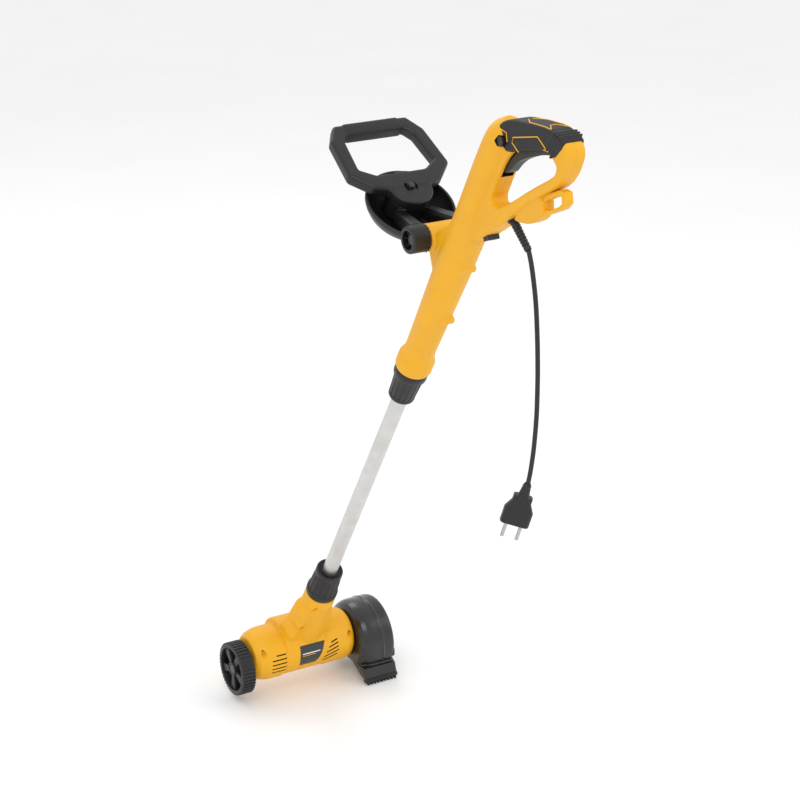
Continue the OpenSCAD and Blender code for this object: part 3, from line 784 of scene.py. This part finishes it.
def add_collars():
    lower = [
        (15.6, 135.2), (22.6, 135.2), (23.5, 136), (23.5, 143.5), (22.9, 144.4), (21.9, 145), (21.7, 147),
        (21.6, 147.6), (21.0, 165), (20.0, 178), (19.9, 178.6), (19.4, 181.5), (20.2, 182.5),
        (20.0, 187.6), (19.2, 188.8), (17.0, 188.9), (15.4, 186), (11.5, 185), (11.5, 178), (15.6, 177),
    ]
    ring = fluted(lower, 16, 1.2, 147.5, 178.2)
    piece(ring, "lower_collar_skin", POLE, "lower_collar", ["lower_collar"], BLACK, 50)
    upper = [
        (11.5, 583.2), (17.2, 583.2), (18.2, 584.2), (18.4, 588), (18.0, 589), (18.1, 590), (18.3, 590.6),
        (19.4, 610), (20.3, 622), (20.4, 622.6), (20.5, 625.5), (22.2, 626.5), (23.0, 627.5),
        (23.0, 638.6), (22.2, 639.5), (15.6, 639.5), (15.6, 600), (11.5, 599),
    ]
    ring = fluted(upper, 16, 1.1, 590.5, 622.2)
    piece(ring, "upper_collar_skin", POLE, "upper_collar", ["upper_collar"], BLACK, 50)


# ---------- front handle ----------

SWIVEL_Y = 130
LOOP_EDGE = [(25, -2), (51, 8), (75, 33), (70, 98), (55, 124)]
LOOP_INNER = [(22, 28), (36, 28), (56, 42), (51, 92), (43, 105)]


def both_sides(points):
    return points + [(-x, y) for x, y in reversed(points)]


def add_front_handle():
    loop = cut(
        prism(both_sides(LOOP_EDGE), 830.8, 847.5), prism(both_sides(LOOP_INNER), 800, 880)
    )
    loop = rounded(loop, 4.2, 4, 30)
    disc = lathe([(0, 831.6), (28.6, 831.6), (30, 833), (30, 845), (28.6, 846.6), (0, 846.6)], 96)
    handle = fused(join(loop, disc), 1.1, 5)
    handle.data.materials.clear()
    handle.data.materials.append(BLACK)
    arcs = []
    for start in (-50, 130):
        band = [
            (r * cos(radians(start + a)), r * sin(radians(start + a)))
            for r, turns in ((5.6, range(0, 101, 10)), (9.4, range(100, -1, -10)))
            for a in turns
        ]
        # The arc slots' walls get the painted shade colour.
        arcs.append(prism(band, 843.5, 860, PAINTED_SHADE))
    cut(handle, *arcs)
    shifted(handle, 0, SWIVEL_Y, 0)
    piece(handle, "front_loop_skin", POLE, "front_handle", ["front_handle"])
    cover = rounded(brick((86, 21.5, 19), (0, SWIVEL_Y + 114.5, 839)), 5, 4)
    piece(cover, "front_grip_cover", POLE, "front_handle", ["front_grip"], SOFT)


def add_swivel_screw():
    cap = lathe([(0, 846.8), (4.8, 846.8), (4.8, 849.5), (3.9, 851), (0, 851.4)], 40)
    boss = lathe([(0, 792.5), (6.6, 792.5), (6.6, 797), (0, 797)], 40)
    cut(cap, brick((7, 1.4, 3), (0, 0, 851.4)), brick((1.4, 7, 3), (0, 0, 851.4)))
    screw = shifted(join(cap, boss), 0, SWIVEL_Y, 0)
    piece(screw, "swivel_screw_head", POLE, "yoke", ["swivel_screw"], SCREW)


def arm(side):
    corners = []
    for low, high in (
        ((side * 33 - 8, 48, 828), (side * 33 + 8, 60, 856)),
        ((side * 20 - 7, 104, 812), (side * 20 + 7, 114, 824)),
    ):
        corners += [
            Vector((x, y, z))
            for x in (low[0], high[0])
            for y in (low[1], high[1])
            for z in (low[2], high[2])
        ]
    return rounded(wrapped(corners), 2.5, 3)


def add_yoke():
    bosses = [
        shifted(rounded(x_rod(17.8, *span, 64), 1.5, 3), 0, *TILT_AT)
        for span in ((-48, -22.6), (22.6, 48))
    ]
    post = shifted(rounded(rod(27, 804, 831, 96), 1.5, 2), 0, SWIVEL_Y, 0)
    teeth = []
    for side in (-1, 1):
        for i in range(20):
            tooth = brick((2.4, 1.2, 3), (side * 23.8, 0, 17.6))
            moved(tooth, Matrix.Rotation(2 * pi * i / 20, 4, "X"))
            teeth.append(shifted(tooth, 0, *TILT_AT))
    yoke = fused(join(*bosses, arm(-1), arm(1), post, *teeth), 0.95, 4)
    yoke.data.materials.clear()
    yoke.data.materials.append(BLACK)
    wells = [shifted(x_rod(12.5, *span, 48, BLACK), 0, *TILT_AT) for span in ((-60, -36), (36, 60))]
    gap = shifted(x_rod(19.5, -22.55, 22.55, 48, BLACK), 0, *TILT_AT)
    cut(yoke, *wells, gap)
    spokes = []
    for side in (-1, 1):
        for i in range(6):
            web = brick((8, 1.8, 6), (side * 40.5, 0, 9.8))
            moved(web, Matrix.Rotation(2 * pi * i / 6, 4, "X"))
            spokes.append(shifted(rounded(web, 0.4, 2), 0, *TILT_AT))
    yoke = join(yoke, *spokes)
    piece(yoke, "yoke_skin", POLE, "yoke", ["yoke"], BLACK)


def add_bowl():
    profile = [
        (0, 797), (34, 797), (45, 802.5), (53, 809.5), (58, 817), (60.4, 822), (61, 825), (60.6, 827.2),
        (59, 828), (57.4, 827.2), (57, 825), (56, 820.5), (51, 812), (43.5, 805.5), (33, 800), (0, 800),
    ]
    bowl = shifted(lathe(profile, 128), 0, SWIVEL_Y - 12, 0)
    bowl.data.materials.append(BLACK)
    cut(bowl, shifted(x_rod(21.5, -60, 60, 64, BLACK), 0, *TILT_AT))
    piece(bowl, "hand_guard_skin", POLE, "yoke", ["hand_guard"], BLACK)


# ---------- motor head ----------

NECK_SCREWS = [(-27, 76), (-16, 120)]
HEAD_SCREWS = [(-80, 31), (65, 31)] + NECK_SCREWS
RAISED_R = 41.5
RAISED_UP = 2.5


def head_solid():
    housing = lathe([
        (0, -92), (31, -92), (36.5, -85), (40.2, -73), (41, -66), (41, -45.4), (39, -42.6),
        (39.6, -40), (39.6, 22),
        (40.6, 26), (40.8, 64), (39, 70), (36, 74.5), (30, 77), (0, 77)], 128)
    moved(housing, ALONG_X)
    neck = lathe([(0, 10), (26, 10), (25, 40), (24, 90), (23.2, 134.6), (0, 134.6)], 96)
    moved(neck, POLE_TO_MACHINE)
    web_outline = [
        (-42, 22), (-41, 52), (-37, 58), (-33, 68), (-31, 84), (-27, 110), (22, 110), (28, 62), (44, 25),
    ]
    web = prism(softened(web_outline, 1), -17, 17)
    web = rounded(web, 7, 4)
    moved(web, POLE_TO_MACHINE @ FACING)
    upper = POLE_TO_MACHINE @ Vector((1, -7, 120))
    lift = radians(40)
    tongue = wrapped(
        ball_points(upper, 18.5, 14) + ball_points((4, -31 * cos(lift), 31 * sin(lift)), 12, 14)
    )
    body = wrapped(
        ball_points(POLE_TO_MACHINE @ Vector((-2, 2, 96)), 21, 14)
        + ball_points((-8, 2, 12), 28, 14) + ball_points((14, 2, 12), 28, 14)
    )
    raised = shifted(rounded(x_rod(RAISED_R, -41.5, 24, 128), 1.2, 2), 0, 0, RAISED_UP)
    bosses = [
        moved(rod(6.5, 0, 19.4), POLE_TO_MACHINE @ Matrix.Translation((x, 0, along)) @ FACING)
        for x, along in NECK_SCREWS
    ]
    shoulder = shifted(rounded(x_rod(40.5, -41.5, 2, 96), 3, 3), 0, 4, 7)
    return fused(join(housing, neck, web, tongue, body, raised, shoulder, *bosses), 1.25, 5)


def vent(x, angle, length, slant=0.0):
    """A slot in the housing's skin, at an angle up from the operator's side."""
    # The slot's walls get the painted shade colour.
    slot = rounded(brick((length, 9, 2.1), (0, -41, 0), PAINTED_SHADE), 0.9, 2)
    moved(slot, Matrix.Rotation(radians(slant), 4, "Y"))
    moved(slot, Matrix.Rotation(radians(-angle), 4, "X"))
    return shifted(slot, x, 0, 0)


def add_head():
    body = head_solid()
    body.data.materials.clear()
    body.data.materials.append(YELLOW)
    tools = []
    for i, angle in enumerate((14, 4, -6, -16, -26)):
        tools.append(vent(-56.5 + (3 if i == 0 else 0), angle, 16 if i == 0 else 25))
        tools.append(vent(-56.5, 180 + angle, 25))
    for i, angle in enumerate((15, 6, -4, -14, -24)):
        tools.append(vent(38 - i * 1.8, angle, 12 + 5 * min(i, 3), -17))
        tools.append(vent(38, 180 + angle, 22, -17))
    for x, along in HEAD_SCREWS:
        well = rod(3.9, 17.6, 60, 32, YELLOW)
        moved(well, POLE_TO_MACHINE @ Matrix.Translation((x, 0, along)) @ FACING)
        tools.append(well)
    cut(body, *tools)
    sleeve = lathe([(0, 134), (15, 134), (15, 176), (0, 176)], 64, YELLOW)
    moved(sleeve, POLE_TO_MACHINE)
    normal = POLE_TO_MACHINE @ Vector((0, 1, 0))
    rear = half_of(body, -normal * 0.05, -normal)
    front = half_of(body, normal * 0.05, normal)
    bpy.data.objects.remove(body)
    piece(join(rear, sleeve), "head_skin_rear", MACHINE, "shaft", ["head_shell_rear"])
    piece(front, "head_skin_front", MACHINE, "shaft", ["head_shell_front"])


def curved_patch(outline, low, high, material):
    """A thin patch on the housing, from [x, angle] points."""
    count = len(outline)
    verts = []
    for radius in (low, high):
        for x, angle in outline:
            turn = radians(angle)
            verts.append((x, -radius * cos(turn), radius * sin(turn) + RAISED_UP))
    faces = [list(range(count)), list(range(2 * count - 1, count - 1, -1))]
    faces += [[i, (i + 1) % count, count + (i + 1) % count, count + i] for i in range(count)]
    return make(verts, faces, material)


def strip(x0, x1, a0, a1, low, high, material, right_edge=None):
    """A patch made of narrow slices, so that it follows the round housing."""
    slices = []
    count = max(2, int(abs(a1 - a0) / 2))
    for i in range(count):
        b0 = a0 + (a1 - a0) * i / count
        b1 = a0 + (a1 - a0) * (i + 1) / count
        e0 = right_edge(b0) if right_edge else x1
        e1 = right_edge(b1) if right_edge else x1
        slices.append(curved_patch([(x0, b0), (e0, b0), (e1, b1), (x0, b1)], low, high, material))
    return join(*slices)


def add_label():
    def edge(angle):
        return 4 + 16.5 * max(0.0, (angle + 29) / 47.5) ** 0.55

    film = strip(-21.5, 0, -29, 18.5, RAISED_R - 0.6, RAISED_R + 0.45, LABEL, edge)
    band = strip(-18, 12, -1.5, 0.7, RAISED_R, RAISED_R + 0.6, PRINT)
    band_low = strip(-18, 4, -5.5, -4.2, RAISED_R, RAISED_R + 0.6, ACCENT)
    piece(join(film, band, band_low), "label_film", MACHINE, "shaft", ["label_plate"])


# ---------- wheel, guard and brush ----------

WHEEL_X0 = -118.5
WHEEL_X1 = -96.5


def add_wheel():
    def band(profile, steps=160):
        return moved(lathe([(r, x) for x, r in profile], steps, None, True), ALONG_X)

    rim = band([
        (WHEEL_X0, 33.5), (WHEEL_X0, 38), (WHEEL_X0 + 1.2, 39.6), (WHEEL_X1 - 1.2, 39.6),
        (WHEEL_X1, 38), (WHEEL_X1, 33.5), (WHEEL_X1 - 7, 32.6), (WHEEL_X0 + 7, 32.6)])
    hub = band([
        (WHEEL_X0 + 0.5, 8), (WHEEL_X0 + 0.5, 10), (WHEEL_X0 + 1.5, 11), (WHEEL_X1 - 1, 11),
        (WHEEL_X1 - 0.4, 10), (WHEEL_X1 - 0.4, 4.1), (WHEEL_X0 + 6, 4.1), (WHEEL_X0 + 6, 8)], 64)
    shapes = [rim, hub]
    treads = 44
    for i in range(treads):
        tread = rounded(brick((21, 2.9, 2.6), ((WHEEL_X0 + WHEEL_X1) / 2, 0, 39.6)), 0.5, 2)
        shapes.append(moved(tread, Matrix.Rotation(2 * pi * i / treads, 4, "X")))
    for i in range(5):
        outline = [(-3.4, 8.5), (3.4, 8.5), (7.6, 34), (-7.6, 34)]
        spoke = moved(prism(outline, WHEEL_X0 + 2.5, WHEEL_X1 - 4), ACROSS)
        spoke = rounded(spoke, 0.9, 2)
        shapes.append(moved(spoke, Matrix.Rotation(2 * pi * (i + 0.5) / 5, 4, "X")))
    piece(join(*shapes), "wheel_skin", AXLE, "wheel", ["wheel"], BLACK)


def add_guard():
    outer = [
        (77, 8), (77, 46), (79, 51.5), (84, 56.5), (91, 59.4), (98, 60), (128, 60), (132, 58.8), (134, 56),
    ]
    inner = [
        (134, 47), (131, 47), (131, 54), (128, 57), (98, 57), (91, 56.4), (86, 54), (82, 49),
        (80.2, 45), (80.2, 8),
    ]
    shell = moved(lathe([(r, x) for x, r in outer + inner], 160, None, True), ALONG_X)
    bead = lathe([(60.8, 112), (61.2, 113), (60.8, 114), (59, 114), (59, 112)], 160, None, True)
    moved(bead, ALONG_X)
    for part in (shell, bead):
        cut(part, brick((120, 200, 60), (100, 0, -56)))
    holder = moved(
        prism([(-54, -25), (-60, -27), (-65, -42), (-58, -44.5), (-50, -26)], 78, 133.5), ACROSS)
    cheek = moved(prism([(-54, -25), (-64, -42), (-52, -42), (-20, -26)], 77.2, 80.2), ACROSS)
    cheek_right = moved(prism([(-54, -25), (-64, -42), (-56, -42), (-44, -26)], 131, 134), ACROSS)
    notch = rounded(brick((3.5, 16, 12), (133, -50, -12)), 0.8, 2)
    guard = fused(join(shell, bead, holder, cheek, cheek_right, notch), 1.0, 3)
    piece(guard, "guard_skin", AXLE, "shaft", ["guard"], GLOSSY)


def add_flap():
    lip = [(-64.2, -41.5), (-68, -44.2), (-66.5, -47.4), (-62, -48.4), (-57, -46), (-58, -43.6)]
    parts = [rounded(moved(prism(lip, 78, 133.6), ACROSS), 0.7, 2, 25)]
    parts.append(rounded(brick((55, 3, 1.6), (105.8, -66.4, -42.2)), 0.6, 2))
    teeth = 9
    for i in range(teeth):
        x = 79.5 + (i + 0.5) * 53 / teeth
        parts.append(rounded(brick((3.4, 5.6, 5.4), (x, -64.8, -49.2)), 0.8, 2))
    piece(join(*parts), "comb_lip", AXLE, "shaft", ["guard_flap"], RUBBER)


def add_bristles():
    """Crimped wires in rows round the hub."""
    verts, faces = [], []
    rows, count = 14, 110
    for row in range(rows):
        for i in range(count):
            turn = 2 * pi * (i + 0.5 * (row % 2)) / count
            x = 91.5 + 29 * row / (rows - 1)
            jitter = 0.9 * sin(12.9 * i + 78.2 * row)
            base = len(verts)
            points = []
            for k in range(6):
                r = 15 + k * 5.6 + 0.3 * jitter
                lean = 0.012 * (1 if k % 2 else -1)
                points.append((x + 0.12 * k * jitter, turn + lean + 0.004 * k * jitter, r))
            for px, angle, r in points:
                for j in range(3):
                    side = 2 * pi * j / 3
                    verts.append((
                        px + 0.32 * cos(side),
                        r * sin(angle) + 0.32 * sin(side) * cos(angle),
                        r * cos(angle) - 0.32 * sin(side) * sin(angle),
                    ))
            for k in range(len(points) - 1):
                for j in range(3):
                    n = (j + 1) % 3
                    here = base + 3 * k
                    faces.append([here + j, here + n, here + 3 + n, here + 3 + j])
            faces.append([base + 3 * (len(points) - 1) + j for j in range(3)])
    wires = make(verts, faces)
    piece(wires, "brush_wires", AXLE, "spindle", ["brush_bristles"], WIRE)


# ---------- studio ----------

def add_studio():
    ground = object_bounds()[0][2]
    floor = bpy.data.objects.new("floor", bpy.data.meshes.new("floor"))
    floor.data.from_pydata([(-9, -9, 0), (9, -9, 0), (9, 9, 0), (-9, 9, 0)], [], [(0, 1, 2, 3)])
    bpy.context.scene.collection.objects.link(floor)
    floor.location = (0, 0.5, ground)
    material, tree, shader = new_material("floor")
    grain = noise_texture(tree, 3, 3)
    colour = colour_between(tree, grain.outputs["Fac"], (0.95, 0.95, 0.95), (0.97, 0.97, 0.97))
    tree.links.new(colour, shader.inputs["Base Color"])
    shader.inputs["Roughness"].default_value = 0.9
    floor.data.materials.append(material)

    world = bpy.data.worlds.new("studio")
    world.use_nodes = True
    world.node_tree.nodes["Background"].inputs["Color"].default_value = (1, 1, 1, 1)
    world.node_tree.nodes["Background"].inputs["Strength"].default_value = 0.92
    bpy.context.scene.world = world

    def panel(name, place, aim, size, power):
        light = bpy.data.objects.new(name, bpy.data.lights.new(name, "AREA"))
        light.data.size = size
        light.data.energy = power
        light.location = place
        light.rotation_euler = (Vector(aim) - Vector(place)).to_track_quat("-Z", "Y").to_euler()
        bpy.context.scene.collection.objects.link(light)

    panel("key", (-1.6, -1.8, 2.2), (0, 0.3, -0.4), 1.6, 26)
    panel("fill", (2.2, -1.0, 1.0), (0, 0.3, -0.4), 1.8, 8)
    panel("rim", (0.4, 2.6, 1.6), (0, 0.3, -0.4), 1.4, 14)


add_camera()
add_cord()
add_strain_relief()
add_handle()
add_hook()
add_grip()
add_trigger()
add_collars()
add_front_handle()
add_swivel_screw()
add_yoke()
add_bowl()
add_head()
add_label()
add_wheel()
add_guard()
add_flap()
add_bristles()
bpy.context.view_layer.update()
add_studio()
